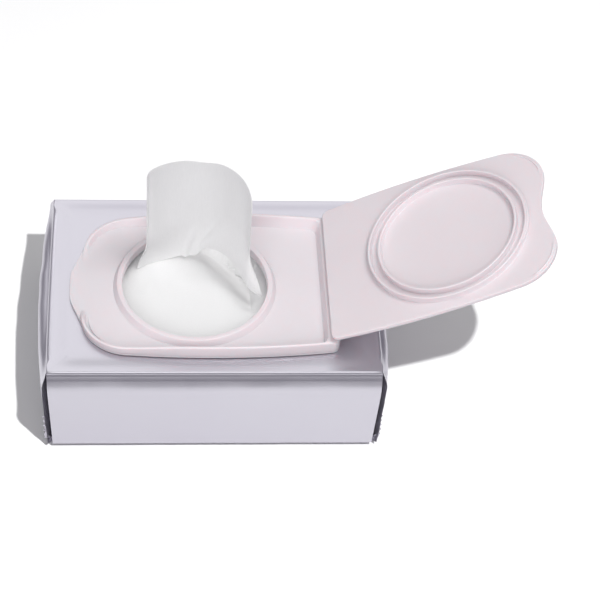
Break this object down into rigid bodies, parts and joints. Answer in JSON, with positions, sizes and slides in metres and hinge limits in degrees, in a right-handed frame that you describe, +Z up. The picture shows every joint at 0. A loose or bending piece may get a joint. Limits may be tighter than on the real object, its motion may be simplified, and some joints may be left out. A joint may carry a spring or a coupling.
{
  "type": "wet wipes pack",
  "caption": "Soft film pack of wet wipes with a flip-top dispensing lid standing open and one wipe pulled up through the round opening.",
  "frame": {"origin": "centre of the flat base that the pack lies on", "axes": "+Z up, +X along the pack towards the lid's hinge, +Y from the front panel to the back panel"},
  "size_m": [0.2257, 0.113, 0.1155],
  "materials": {
    "film": "satin pearl laminate film",
    "lid": "satin moulded polypropylene, faint pink",
    "wipes": "matte damp nonwoven"
  },
  "bodies": {
    "pack": {"film_wrapper": "film", "wipe_stack": "wipes", "pulled_wipe": "wipes", "lid_frame": "lid"},
    "lid": {"lid_flap": "lid"}
  },
  "joints": [
    {"name": "lid_hinge", "type": "hinge", "parent": "pack", "child": "lid", "pos_m": [0.0505, -0.0046, 0.06], "axis": [0, 1, 0], "range_deg": [-155, 20], "deforming": ["pulled_wipe"]}
  ]
}
